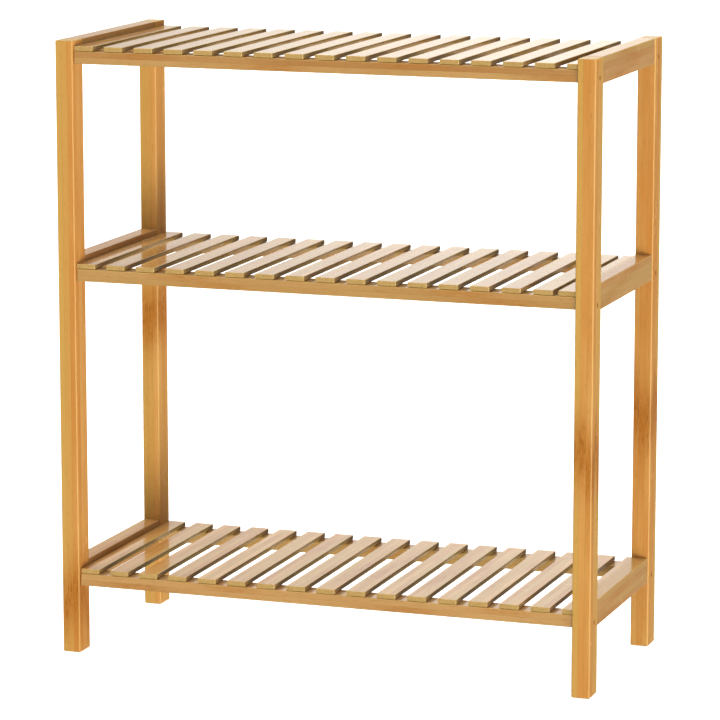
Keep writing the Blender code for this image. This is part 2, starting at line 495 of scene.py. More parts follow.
    @staticmethod
    def handling() -> bpy.types.NodeTree:
        """Make the group for what use and a brush leave on a clear finish.

        Returns:
            A group with smudges, where the gloss is duller, and the height of the film's
            slow ripple.
        """
        inputs = {"Vector": (VECTOR, None), "Ripple": (FLOAT, 60.0), "Smudge Scale": (FLOAT, 34.0)}
        outputs = {"Smudges": FLOAT, "Height": FLOAT}
        graph, given, end = new_group("Handling", "ShaderNodeTree", inputs, outputs)
        smudges = graph.noise(given["Vector"], given["Smudge Scale"], 5.0, 0.62).outputs[0]
        film = graph.noise(given["Vector"], given["Ripple"], 1.0, 0.4).outputs[0]
        graph.feed(end, Smudges=graph.fade(smudges, 0.42, 0.72), Height=film)
        return graph.tree


# --- Finishes -----------------------------------------------------------------------------


def start_material(name: str) -> tuple[bpy.types.Material, Graph, bpy.types.Node]:
    """Start a material.

    Args:
        name: its name.

    Returns:
        The material, a graph on its nodes, and its Principled shader.
    """
    material = bpy.data.materials.new(name)
    material.use_nodes = True
    graph = Graph(material.node_tree)
    return material, graph, material.node_tree.nodes["Principled BSDF"]


def set_sockets(shader: bpy.types.Node, **values: Any) -> None:
    """Set a shader's own sockets, given with _ for a space in their names."""
    for name, value in values.items():
        shader.inputs[name.replace("_", " ")].default_value = value


@dataclass(frozen=True)
class BambooFinish:
    """Laminated bamboo under clear lacquer, for one kind of bar.

    Attributes:
        name: the material's name.
        slot: the record's material slot; nothing here reads it.
        grain: the way the fibres run.
        pale: the colour of the lightest strips.
        deep: the colour of the darkest strips.
        olive: the hue that some strips lean to.
        strip: the width and depth of a strip, across the grain.
        contrast: how much strips differ in tone.
        flecks: how dark the vessels are.
        joints: how dark the cane's joints are.
        spacing: how far apart the joints are.
        scatter: how far the joints of neighbouring strips may lie apart.
        ends: how strongly the sawn ends show.
        gloss: the roughness of the lacquer.
        film: how thick the lacquer lies.
        flanks: how strongly painted shade darkens the narrow sides, where slats face each other
            across their gaps.
    """

    name: str
    slot: str
    grain: Grain
    pale: Colour
    deep: Colour
    olive: Colour
    strip: tuple[float, float]
    contrast: float = 0.5
    flecks: float = 0.35
    joints: float = 0.6
    spacing: float = 0.31
    scatter: float = 3.0
    ends: float = 0.75
    gloss: float = 0.08
    film: float = 1.0
    flanks: float = 0.0

    STREAK_SHARE = 0.24
    CLOUD_SHARE = 0.4
    TONE_SHARE = 0.4
    EDGE_FILM = 0.08
    # Painted highlight: how strongly the rounded edges are lightened.
    WEAR = 0.75
    SEAM_COLOUR = (0.16, 0.075, 0.018)
    FLECK_COLOUR = (0.20, 0.085, 0.020)
    ZONE_COLOUR = (0.465, 0.168, 0.023)
    STREAK_COLOUR = (0.33, 0.115, 0.016)
    END_COLOUR = (0.54, 0.365, 0.13)
    # The colour of the painted highlight along the rounded edges.
    WORN_COLOUR = (0.57, 0.43, 0.125)
    # The colour of the painted shade on the narrow sides.
    FLANK_COLOUR = (0.22, 0.155, 0.05)
    # The colour of the painted shade in the bores and at the ends that meet other bars.
    SCORCH_COLOUR = (0.10, 0.038, 0.010)

    def grain_vector(self, graph: Graph, vector: Socket) -> Socket:
        """Turn a vector so that the grain runs along Z.

        Args:
            graph: the material's graph.
            vector: a vector in the row's axes.

        Returns:
            The turned vector's socket.
        """
        parts = graph.separate(vector)
        first, second = self.grain.across
        return graph.combine(parts[first], parts[second], parts[self.grain.along])

    def make(self) -> bpy.types.Material:
        """Build the material.

        Returns:
            The finished material.
        """
        material, graph, shader = start_material(self.name)
        places = graph.add("ShaderNodeTexCoord")
        shift = graph.add("ShaderNodeAttribute", attribute_name="shift").outputs["Vector"]
        tone = graph.add("ShaderNodeAttribute", attribute_name="tone").outputs["Fac"]
        edge = graph.add("ShaderNodeAttribute", attribute_name="edge").outputs["Fac"]
        scorch = graph.add("ShaderNodeAttribute", attribute_name="scorch").outputs["Fac"]
        at = self.grain_vector(graph, graph.vector("ADD", places.outputs["Object"], shift))
        facing = self.grain_vector(graph, places.outputs["Normal"])

        strips = Effects.use(graph, "strips", Vector=at, Strip_Width=self.strip[0],
                             Strip_Depth=self.strip[1], Scatter=self.scatter)
        joints = Effects.use(graph, "joints", Vector=strips["Strip Vector"], Spacing=self.spacing)
        fibres = Effects.use(graph, "fibres", Vector=joints["Bent Vector"])
        sawn = Effects.use(graph, "sawn_end", Vector=at, Facing=facing)
        handling = Effects.use(graph, "handling", Vector=at)

        colour = self.body_colour(graph, strips, fibres, tone)
        colour = self.marks(graph, colour, strips, fibres, joints)
        ends = graph.mix(graph.math("MULTIPLY", sawn["Dots"], 0.55), self.END_COLOUR,
                         self.FLECK_COLOUR)
        colour = graph.mix(graph.math("MULTIPLY", sawn["Mask"], self.ends), colour, ends)
        # Painted shade on the narrow sides, where the slats face each other across their gaps.
        colour = graph.mix(self.flank_mask(graph, facing), colour, self.FLANK_COLOUR)
        # Painted shade in the bores and at the ends that meet other bars.
        colour = graph.mix(scorch, colour, self.SCORCH_COLOUR)
        # Painted highlight along the rounded edges, broken into patches.
        wear_and_highlight = Effects.use(graph, "worn_edges", Colour=colour, Vector=at, Edge=edge,
                           Worn_Colour=(*self.WORN_COLOUR, 1.0), Amount=self.WEAR)
        graph.put(shader.inputs["Base Color"], wear_and_highlight["Colour"])

        rough = self.gloss + 0.12
        for mask, share in ((handling["Smudges"], 0.09), (fibres["Flecks"], 0.12),
                            (wear_and_highlight["Mask"], 0.2), (sawn["Mask"], 0.2)):
            rough = graph.math("MULTIPLY_ADD", mask, share, rough)
        graph.put(shader.inputs["Roughness"], rough)
        graph.put(shader.inputs["Normal"], self.relief(graph, strips, fibres, joints, handling))
        thinned = graph.fade(edge, 0.0, 0.4, self.film, self.EDGE_FILM)
        graph.put(shader.inputs["Coat Weight"], thinned)
        set_sockets(shader, Coat_Roughness=self.gloss, Coat_IOR=1.5, IOR=1.45,
                    Specular_IOR_Level=0.05)
        return material

    def flank_mask(self, graph: Graph, facing: Socket) -> Socket:
        """Mask the bar's narrow sides for their painted shade, from a normal in the grain's own
        coordinates.
        """
        sideways = graph.math("ABSOLUTE", graph.separate(facing)["X"])
        return graph.fade(sideways, 0.6, 0.9, 0.0, self.flanks)

    def body_colour(self, graph: Graph, strips: dict[str, Socket], fibres: dict[str, Socket],
                    tone: Socket) -> Socket:
        """Mix the wood's colour from the strips' tones and the fibres.

        Args:
            graph: the material's graph.
            strips: the strip effect's outputs.
            fibres: the fibre effect's outputs.
            tone: the piece's own tone, about 0.5.

        Returns:
            The colour's socket.
        """
        parts = ((strips["Tone"], self.contrast), (fibres["Streaks"], self.STREAK_SHARE),
                 (fibres["Clouds"], self.CLOUD_SHARE), (tone, self.TONE_SHARE))
        lightness = 0.5
        for socket, share in parts:
            lightness = graph.math("ADD", lightness, graph.sway(socket, share))
        held = graph.math("MULTIPLY", lightness, 1.0, clamp=True)
        colour = graph.mix(held, self.deep, self.pale)
        lean = graph.math("MULTIPLY", graph.fade(strips["Hue"], 0.3, 0.8), 0.85)
        return graph.mix(lean, colour, self.olive)

    def marks(self, graph: Graph, colour: Socket, strips: dict[str, Socket],
              fibres: dict[str, Socket], joints: dict[str, Socket]) -> Socket:
        """Draw the vessels, the cane's joints and the glue lines over a colour.

        Args:
            graph: the material's graph.
            colour: the wood's colour.
            strips: the strip effect's outputs.
            fibres: the fibre effect's outputs.
            joints: the joint effect's outputs.

        Returns:
            The marked colour's socket.
        """
        uneven = graph.fade(fibres["Streaks"], 0.0, 1.0, 1.0, 0.7)
        zone = graph.math("MULTIPLY", graph.math("MULTIPLY", joints["Zone"], self.joints), uneven)
        colour = graph.mix(zone, colour, self.ZONE_COLOUR)
        streaks = graph.math("MULTIPLY", joints["Streaks"], self.joints * 0.8)
        colour = graph.mix(streaks, colour, self.STREAK_COLOUR)
        flecks = graph.math("MULTIPLY", fibres["Flecks"], self.flecks)
        colour = graph.mix(flecks, colour, self.FLECK_COLOUR)
        return graph.mix(graph.math("MULTIPLY", strips["Seam"], 0.4), colour, self.SEAM_COLOUR)

    def relief(self, graph: Graph, strips: dict[str, Socket], fibres: dict[str, Socket],
               joints: dict[str, Socket], handling: dict[str, Socket]) -> Socket:
        """Turn the fibres, seams, joints and the film's ripple into a normal.

        Args:
            graph: the material's graph.
            strips: the strip effect's outputs.
            fibres: the fibre effect's outputs.
            joints: the joint effect's outputs.
            handling: the handling effect's outputs.

        Returns:
            The normal's socket.
        """
        height = 0.0
        for part, share in ((fibres, 0.5), (joints, 0.6), (handling, 1.2)):
            height = graph.math("MULTIPLY_ADD", part["Height"], share, height)
        height = graph.math("MULTIPLY_ADD", strips["Seam"], -0.5, height)
        bump = graph.feed(graph.add("ShaderNodeBump"), Strength=0.2, Distance=0.05 * MM,
                          Height=height)
        return bump.outputs["Normal"]


@dataclass(frozen=True)
class SteelFinish:
    """Bronzed steel, a little scratched, for the screws.

    Attributes:
        name: the material's name.
        slot: the record's material slot; nothing here reads it.
        dark: the colour of the bronzing.
        bare: the colour where a driver has rubbed it.
    """

    name: str
    slot: str
    dark: Colour
    bare: Colour

    def make(self) -> bpy.types.Material:
        """Build the material.

        Returns:
            The finished material.
        """
        material, graph, shader = start_material(self.name)
        at = graph.add("ShaderNodeTexCoord").outputs["Object"]
        patches = graph.noise(at, 900.0, 3.0, 0.6).outputs[0]
        rubbed = graph.fade(patches, 0.5, 0.72)
        wear_and_highlight = Effects.use(graph, "worn_edges", Vector=at, Colour=(*self.dark, 1.0),
                           Worn_Colour=(*self.bare, 1.0), Edge=rubbed, Amount=0.6)
        handling = Effects.use(graph, "handling", Vector=at, Ripple=500.0)
        graph.put(shader.inputs["Base Color"], wear_and_highlight["Colour"])
        rough = graph.math("MULTIPLY_ADD", handling["Smudges"], 0.2, 0.4)
        graph.put(shader.inputs["Roughness"], rough)
        bump = graph.feed(graph.add("ShaderNodeBump"), Strength=0.2, Distance=0.03 * MM,
                          Height=patches)
        graph.put(shader.inputs["Normal"], bump.outputs["Normal"])
        set_sockets(shader, Metallic=1.0)
        return material


def split(width: float, columns: int, depth: float, layers: int) -> tuple[float, float]:
    """Find the strips' size where a bar is so many of them wide and deep.

    Args:
        width: the bar's width in millimetres.
        columns: how many strips that is.
        depth: its depth in millimetres.
        layers: how many strips that is.

    Returns:
        A strip's width and depth in metres, with the outer ones planed down a little.
    """
    planed = 2 * OVERHANG
    return (width * MM + planed) / columns, (depth * MM + planed) / layers


LEG_FINISH = BambooFinish("bamboo_legs", "legs", Grain.ALONG_Z, pale=(0.73, 0.42, 0.13),
                          deep=(0.60, 0.245, 0.050), olive=(0.63, 0.375, 0.095),
                          strip=split(20.0, 3, 28.0, 3), contrast=0.4, flecks=0.25, joints=1.0,
                          spacing=0.70, scatter=0.03, film=0.45)
SIDE_FINISH = BambooFinish("bamboo_side_rails", "rails", Grain.ALONG_Y, pale=(0.66, 0.38, 0.15),
                           deep=(0.48, 0.235, 0.070), olive=(0.57, 0.355, 0.12),
                           strip=split(18.5, 3, 28.0, 4), joints=0.35, film=0.6)
LONG_FINISH = BambooFinish("bamboo_long_rails", "rails", Grain.ALONG_X, pale=(0.63, 0.38, 0.15),
                           deep=(0.46, 0.23, 0.073), olive=(0.535, 0.335, 0.11),
                           strip=split(25.0, 3, 13.5, 2), joints=0.45)
SLAT_FINISH = BambooFinish("bamboo_slats", "slats", Grain.ALONG_Y, pale=(0.80, 0.49, 0.185),
                           deep=(0.55, 0.27, 0.078), olive=(0.63, 0.405, 0.135),
                           strip=split(21.2, 3, 5.2, 1), joints=0.4, ends=0.9, flanks=0.75)
DOWEL_FINISH = BambooFinish("beech_dowels", "rails", Grain.ALONG_Y, pale=(0.72, 0.50, 0.27),
                            deep=(0.56, 0.36, 0.18), olive=(0.62, 0.44, 0.22),
                            strip=(20.0 * MM, 20.0 * MM), joints=0.0)
STEEL_FINISH = SteelFinish("bronzed_steel", "screws", dark=(0.014, 0.008, 0.005),
                           bare=(0.05, 0.032, 0.02))


# --- Meshes -------------------------------------------------------------------------------


def add_object(name: str, data: bpy.types.ID) -> bpy.types.Object:
    """Put a mesh or a camera in the scene.

    Args:
        name: the object's name.
        data: the mesh or the camera.

    Returns:
        The object, at the origin.
    """
    made = bpy.data.objects.new(name, data)
    bpy.context.scene.collection.objects.link(made)
    return made


def bake_down(piece: bpy.types.Object) -> bpy.types.Object:
    """Turn an object's modifiers into plain mesh.

    Args:
        piece: an object at the origin with live modifiers.

    Returns:
        The same object, with the evaluated mesh and no modifier.
    """
    graph = bpy.context.evaluated_depsgraph_get()
    mesh = bpy.data.meshes.new_from_object(piece.evaluated_get(graph))
    mesh.name = piece.name
    piece.modifiers.clear()
    piece.data = mesh
    return piece


def keep_mesh(name: str, bm: bmesh.types.BMesh) -> bpy.types.Mesh:
    """Turn an edit mesh into a kept one.

    Args:
        name: the kept mesh's name.
        bm: the edit mesh, which is freed.

    Returns:
        The kept mesh.
    """
    mesh = bpy.data.meshes.new(name)
    bm.to_mesh(mesh)
    bm.free()
    return mesh


def cut_out(piece: bpy.types.Object, tool_mesh: bpy.types.Mesh) -> None:
    """Cut a closed shape out of a piece.

    Args:
        piece: the piece.
        tool_mesh: the shape to take away.
    """
    tool = add_object("tool", tool_mesh)
    cut = piece.modifiers.new("cut", "BOOLEAN")
    cut.operation = "DIFFERENCE"
    cut.solver = "EXACT"
    cut.object = tool
    bake_down(piece)
    bpy.data.objects.remove(tool, do_unlink=True)


def shade_round(mesh: bpy.types.Mesh, angle: float) -> None:
    """Shade a mesh round, but for edges that turn by more than an angle in degrees."""
    mesh.shade_smooth()
    mesh.set_sharp_from_angle(angle=math.radians(angle))


def finish_piece(piece: bpy.types.Object, nodes: list[str]) -> bpy.types.Object:
    """Hand a finished piece to the frame.

    Args:
        piece: the piece, at the origin, unturned and unscaled.
        nodes: the nodes of the frame that it stands for.

    Returns:
        The same piece.
    """
    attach(piece, BODY)
    if nodes:
        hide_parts(*nodes)
    LOG.info("%s: %d faces, stands for %d nodes", piece.name, len(piece.data.polygons), len(nodes))
    return piece


@dataclass
class Bore:
    """A round hole to be drilled, with an eased mouth.

    Attributes:
        centre: a point on its axis, at its mouth.
        axis: the direction it is drilled in.
        radius: its radius.
        depth: its depth.
        ease: how far its rim is broken.
    """

    centre: Vector
    axis: Vector
    radius: float
    depth: float
    ease: float = 0.0

    SIDES = 40
    CLEAR = 2.0 * MM

    def profile(self) -> list[tuple[float, float]]:
        """Give the cutter's outline.

        Returns:
            Pairs of radius and depth, from outside the mouth inwards.
        """
        flare = self.radius + self.ease
        outline = [(flare, -self.CLEAR), (flare, 0.0)] if self.ease else [(self.radius, -self.CLEAR)]
        return outline + [(self.radius, self.ease), (self.radius, self.depth)]

    def add_to(self, bm: bmesh.types.BMesh) -> None:
        """Add the cutter's closed shape to a mesh.

        Args:
            bm: the mesh to add to.
        """
        turn = Vector((0, 0, 1)).rotation_difference(self.axis)
        rings = []
        for radius, depth in self.profile():
            ring = []
            for step in range(self.SIDES):
                angle = 2 * math.pi * step / self.SIDES
                spot = Vector((radius * math.cos(angle), radius * math.sin(angle), depth))
                ring.append(bm.verts.new(self.centre + turn @ spot))
            rings.append(ring)
        for upper, lower in zip(rings, rings[1:]):
            for step in range(self.SIDES):
                other = (step + 1) % self.SIDES
                bm.faces.new((upper[step], upper[other], lower[other], lower[step]))
        bm.faces.new(reversed(rings[0]))
        bm.faces.new(rings[-1])


@dataclass
class Bar:
    """A straight bar of bamboo with eased edges, drilled where it has to be.

    Attributes:
        name: the piece's name.
        low: its lowest corner.
        high: its highest corner.
        finish: its finish.
        ease: the radius of its edges.
        bores: the holes in it.
        joint: where along it a joint of the cane lies, or None for anywhere.
        butted: how dark the painted shade is at its ends, where they meet other bars.
        segments: how many facets round an edge.
    """

    name: str
    low: Vector
    high: Vector
    finish: BambooFinish
    ease: float = 1.3 * MM
    bores: list[Bore] = field(default_factory=list)
    joint: float | None = None
    butted: float = 0.0
    segments: int = 5

    TONES = (0.3, 0.7)
    # Painted shade in the bores: its most, and the depth below the faces where it is reached.
    SCORCH = 0.9
    SCORCH_DEPTH = 0.4 * MM

    def build(self, material: bpy.types.Material, chance: random.Random) -> bpy.types.Object:
        """Make the bar.

        Args:
            material: what it is made of.
            chance: where its small irregularities come from.

        Returns:
            The bar as a plain mesh at the origin.
        """
        bm = bmesh.new()
        place = Matrix.Translation((self.low + self.high) / 2)
        size = Matrix.Diagonal((*(self.high - self.low), 1.0))
        bmesh.ops.create_cube(bm, size=1.0, matrix=place @ size)
        bmesh.ops.bevel(bm, geom=list(bm.edges), offset=self.ease, segments=self.segments,
                        profile=0.5, affect="EDGES", clamp_overlap=True)
        piece = add_object(self.name, keep_mesh(self.name, bm))
        piece.data.materials.append(material)
        if self.bores:
            self.drill(piece)
        self.smooth(piece)
        self.describe(piece.data, chance)
        return piece

    def drill(self, piece: bpy.types.Object) -> None:
        """Cut the bores, in two rounds, since some reach into the one before.

        Args:
            piece: the bar.
        """
        for round_number in range(2):
            bm = bmesh.new()
            for bore in self.bores[round_number::2]:
                bore.add_to(bm)
            bmesh.ops.recalc_face_normals(bm, faces=list(bm.faces))
            cut_out(piece, keep_mesh("drill", bm))

    @staticmethod
    def smooth(piece: bpy.types.Object) -> None:
        """Shade the eased edges round and keep the wide faces flat.

        Args:
            piece: the bar, or a row of bars.
        """
        shade_round(piece.data, 32)
        weighted = piece.modifiers.new("flat faces", "WEIGHTED_NORMAL")
        weighted.keep_sharp = True
        weighted.weight = 100
        bake_down(piece)

    def describe(self, mesh: bpy.types.Mesh, chance: random.Random) -> None:
        """Store where the edges are, the painted shade in its bores and at its ends, the piece's
        tone and where its strips lie.

        Args:
            mesh: the bar's mesh.
            chance: where its tone and its place in the cane come from.
        """
        first, second = ("XYZ".index(axis) for axis in self.finish.grain.across)
        along = "XYZ".index(self.finish.grain.along)
        shift = Vector([OVERHANG] * 3) - self.low
        shift[first] += self.finish.strip[0] * chance.randrange(3, 40)
        shift[second] += self.finish.strip[1] * chance.randrange(3, 40)
        shift[along] += chance.uniform(1.0, 3.0)
        if self.joint is not None:
            whole = chance.randrange(2, 9) + 0.5
            shift[along] = whole * self.finish.spacing - self.low[along] - self.joint
        edges, shade_values = [], []
        for vertex in mesh.vertices:
            # Painted shade: points sunk below the bar's faces, inside the bores, darken with depth.
            buried = min(min(vertex.co[i] - self.low[i], self.high[i] - vertex.co[i])
                         for i in range(3))
            recess_shade = min(max(buried / self.SCORCH_DEPTH, 0.0), self.SCORCH)
            shade_values.append(recess_shade if self.bores else 0.0)
            inner = Vector(min(max(vertex.co[i], self.low[i] + self.ease), self.high[i] - self.ease)
                           for i in range(3))
            away = vertex.co - inner
            widest = max(abs(value) for value in away)
            turned = 1.0 - widest / away.length if away.length > 1e-7 else 0.0
            edges.append(min(turned / (1.0 - math.sqrt(0.5)), 1.0))
            if edges[-1] > 0.01:
                shade_values[-1] = 0.0
            # Painted shade at the ends that meet other bars.
            end = min(vertex.co[along] - self.low[along], self.high[along] - vertex.co[along])
            if end < 0.6 * self.ease:
                shade_values[-1] = max(shade_values[-1], self.butted)
        count = len(mesh.vertices)
        store(mesh, "edge", "FLOAT", edges)
        store(mesh, "scorch", "FLOAT", shade_values)
        store(mesh, "tone", "FLOAT", [chance.uniform(*self.TONES)] * count)
        store(mesh, "shift", "FLOAT_VECTOR", list(shift) * count)


def store(mesh: bpy.types.Mesh, name: str, kind: str, values: list[float]) -> None:
    """Write an attribute on a mesh's points.

    Args:
        mesh: the mesh.
        name: the attribute's name.
        kind: FLOAT or FLOAT_VECTOR.
        values: its numbers, one point after the other.
    """
    attribute = mesh.attributes.get(name) or mesh.attributes.new(name, kind, "POINT")
    attribute.data.foreach_set("vector" if kind == "FLOAT_VECTOR" else "value", values)


# --- Geometry node trees ------------------------------------------------------------------


def grow(name: str, tree: bpy.types.NodeTree, mesh: bpy.types.Mesh,
         **values: Any) -> bpy.types.Object:
    """Run a geometry tree on a mesh and keep the result as a plain mesh.

    Args:
        name: the new piece's name.
        tree: the geometry tree.
        mesh: the mesh it starts from.
        values: the tree's inputs, with _ for a space in their names.

    Returns:
        The piece, at the origin with no modifier.
    """
    piece = add_object(name, mesh)
    modifier = piece.modifiers.new(tree.name, "NODES")
    modifier.node_group = tree
    sockets = {item.name: item.identifier for item in tree.interface.items_tree
               if item.item_type == "SOCKET" and item.in_out == "INPUT"}
    for label, value in values.items():
        modifier[sockets[label.replace("_", " ")]] = value
    return bake_down(piece)


def dress(graph: Graph, instances: Socket, material: Socket, end: bpy.types.Node) -> None:
    """End a geometry tree: make its instances real and give them their material.

    Args:
        graph: the tree's graph.
        instances: the instances.
        material: the material.
        end: the tree's output node.
    """
    real = graph.feed(graph.add("GeometryNodeRealizeInstances"), Geometry=instances)
    dressed = graph.feed(graph.add("GeometryNodeSetMaterial"), Geometry=real.outputs[0],
                         Material=material)
    graph.put(end.inputs["Geometry"], dressed.outputs[0])


def rounded_bar_group() -> bpy.types.NodeTree:
    """Make the geometry group for a bar with eased edges.

    A lattice's outer layers are pulled onto the round, the inner ones onto the flat faces,
    and the edge attribute says how far round each point lies.

    Returns:
        A group with the bar's size and the radius of its edges as inputs.
    """
    inputs = {"Size": (VECTOR, (0.02, 0.25, 0.005)), "Edge Radius": (FLOAT, 0.0006)}
    graph, given, end = new_group("Rounded bar", "GeometryNodeTree", inputs, {"Mesh": GEOMETRY})
    layers, innermost, bend = 8, 1 / 7, 1.16
    cube = graph.feed(graph.add("GeometryNodeMeshCube"), Size=(2.0, 2.0, 2.0),
                      Vertices_X=layers, Vertices_Y=layers, Vertices_Z=layers)
    places = graph.separate(graph.add("GeometryNodeInputPosition").outputs[0])
    sizes = graph.separate(given["Size"])
    flat, reach = {}, {}
    for axis in "XYZ":
        half = graph.math("MULTIPLY", sizes[axis], 0.5)
        inner = graph.math("SUBTRACT", half, given["Edge Radius"])
        sign = graph.math("SIGN", places[axis])
        out = graph.math("SUBTRACT", graph.math("ABSOLUTE", places[axis]), innermost)
        share = graph.math("DIVIDE", out, 1 - innermost, clamp=True)
        bent = graph.math("POWER", share, bend)
        flat[axis] = graph.math("MULTIPLY", sign, inner)
        reach[axis] = graph.math("MULTIPLY", sign, bent)
    away = graph.combine(reach["X"], reach["Y"], reach["Z"])
    round_off = graph.vector("NORMALIZE", away)
    target = graph.vector("ADD", graph.combine(flat["X"], flat["Y"], flat["Z"]),
                          graph.scale(round_off, given["Edge Radius"]))
    parts = graph.separate(graph.vector("ABSOLUTE", round_off))
    widest = graph.math("MAXIMUM", graph.math("MAXIMUM", parts["X"], parts["Y"]), parts["Z"])
    turned = graph.math("DIVIDE", graph.math("SUBTRACT", 1.0, widest), 1 - math.sqrt(0.5),
                        clamp=True)
    marked = graph.add("GeometryNodeStoreNamedAttribute", data_type="FLOAT", domain="POINT")
    graph.feed(marked, Geometry=cube.outputs["Mesh"], Name="edge", Value=turned)
    moved = graph.feed(graph.add("GeometryNodeSetPosition"), Geometry=marked.outputs[0],
                       Position=target)
    graph.put(end.inputs["Mesh"], moved.outputs[0])
    return graph.tree


def slat_row_tree() -> bpy.types.NodeTree:
    """Make the tree that lays a shelf's slats.

    Returns:
        A tree with the slats' number, pitch and size, the ripped slat's width, how far they
        stray, a seed and the material as inputs.
    """
    inputs = {"Geometry": (GEOMETRY, None), "Whole Slats": (INTEGER, 16), "Pitch": (FLOAT, 0.034),
              "First Centre": (VECTOR, None), "Slat Size": (VECTOR, None),
              "Ripped Centre": (VECTOR, None), "Ripped Size": (VECTOR, None),
              "Edge Radius": (FLOAT, 0.0006), "Stray": (FLOAT, 0.0002), "Turn": (FLOAT, 0.0004),
              "Strip": (VECTOR, None), "Seed": (INTEGER, 1), "Material": (MATERIAL, None)}
    graph, given, end = new_group("Slat row", "GeometryNodeTree", inputs, {"Geometry": GEOMETRY})
    rounded = rounded_bar_group()
    line = graph.add("GeometryNodeMeshLine", mode="OFFSET")
    graph.feed(line, Count=given["Whole Slats"], Start_Location=given["First Centre"],
               Offset=graph.combine(given["Pitch"]))
    single = graph.add("GeometryNodeMeshLine", mode="OFFSET")
    graph.feed(single, Count=1, Start_Location=given["Ripped Centre"])
    rows = graph.add("GeometryNodeJoinGeometry")
    for points, size in ((single, given["Ripped Size"]), (line, given["Slat Size"])):
        bar = graph.add("GeometryNodeGroup", node_tree=rounded)
        graph.feed(bar, Size=size, Edge_Radius=given["Edge Radius"])
        placed = graph.feed(graph.add("GeometryNodeInstanceOnPoints"),
                            Points=points.outputs["Mesh"], Instance=bar.outputs[0])
        graph.tree.links.new(placed.outputs[0], rows.inputs[0])

    def chance(kind: str, low: Any, high: Any, extra: int) -> Socket:
        """Draw a random value for each slat.

        Args:
            kind: FLOAT or FLOAT_VECTOR.
            low: the least it can be.
            high: the most it can be.
            extra: what is added to the seed, so that draws differ.

        Returns:
            The value's socket.
        """
        seed = graph.math("ADD", given["Seed"], float(extra))
        node = graph.add("FunctionNodeRandomValue", data_type=kind)
        graph.feed(node, Min=low, Max=high, Seed=seed)
        return Graph.socket(node.outputs, "Value")

    stray = given["Stray"]
    offset = graph.combine(*(graph.math("MULTIPLY", chance("FLOAT", -1.0, 1.0, index), stray)
                             for index in (1, 2)), 0.0)
    strayed = graph.feed(graph.add("GeometryNodeTranslateInstances"), Instances=rows.outputs[0],
                         Translation=offset, Local_Space=False)
    turn = graph.combine(0.0, 0.0, graph.math("MULTIPLY", chance("FLOAT", -1.0, 1.0, 3),
                                              given["Turn"]))
    turned = graph.feed(graph.add("GeometryNodeRotateInstances"), Instances=strayed.outputs[0],
                        Rotation=turn, Local_Space=True)
    tone = graph.add("GeometryNodeStoreNamedAttribute", data_type="FLOAT", domain="INSTANCE")
    graph.feed(tone, Geometry=turned.outputs[0], Name="tone", Value=chance("FLOAT", 0.2, 0.8, 4))
    shift = graph.add("GeometryNodeStoreNamedAttribute", data_type="FLOAT_VECTOR",
                      domain="INSTANCE")
    stock = graph.vector("MULTIPLY", graph.vector("FLOOR", chance("FLOAT_VECTOR", (3.0,) * 3,
                                                                  (40.0,) * 3, 5)),
                         given["Strip"])
    free = graph.combine(0.0, chance("FLOAT", 1.0, 3.0, 6), 0.0)
    middle = graph.add("GeometryNodeInputPosition").outputs[0]
    half = graph.vector("MULTIPLY", given["Slat Size"], (0.5, 0.0, 0.5))
    start = graph.vector("ADD", graph.vector("SUBTRACT", half, middle),
                         (OVERHANG, 0.0, OVERHANG))
    graph.feed(shift, Geometry=tone.outputs[0], Name="shift",
               Value=graph.vector("ADD", start, graph.vector("ADD", stock, free)))
    dress(graph, shift.outputs[0], given["Material"], end)
    return graph.tree


def screw_tree() -> bpy.types.NodeTree:
    """Make the tree that drives a screw at each point, its head away from the middle.

    Returns:
        A tree with the screw, a seed and the material as inputs.
    """
    inputs = {"Geometry": (GEOMETRY, None), "Screw": (OBJECT, None), "Seed": (INTEGER, 1),
              "Material": (MATERIAL, None)}
    graph, given, end = new_group("Driven screws", "GeometryNodeTree", inputs,
                                  {"Geometry": GEOMETRY})
    screw = graph.feed(graph.add("GeometryNodeObjectInfo"), Object=given["Screw"])
    place = graph.separate(graph.add("GeometryNodeInputPosition").outputs[0])
    outwards = graph.math("MULTIPLY", graph.math("SIGN", place["X"]), math.pi / 2)
    facing = graph.feed(graph.add("FunctionNodeEulerToRotation"), Euler=graph.combine(0, outwards))
    placed = graph.feed(graph.add("GeometryNodeInstanceOnPoints"), Points=given["Geometry"],
                        Instance=screw.outputs["Geometry"], Rotation=facing.outputs[0])
    turns = graph.feed(graph.add("FunctionNodeRandomValue", data_type="FLOAT"), Min=0.0,
                       Max=2 * math.pi, Seed=given["Seed"])
    spun = graph.combine(0.0, 0.0, Graph.socket(turns.outputs, "Value"))
    driven = graph.feed(graph.add("GeometryNodeRotateInstances"), Instances=placed.outputs[0],
                        Rotation=spun, Local_Space=True)
    dress(graph, driven.outputs[0], given["Material"], end)
    return graph.tree


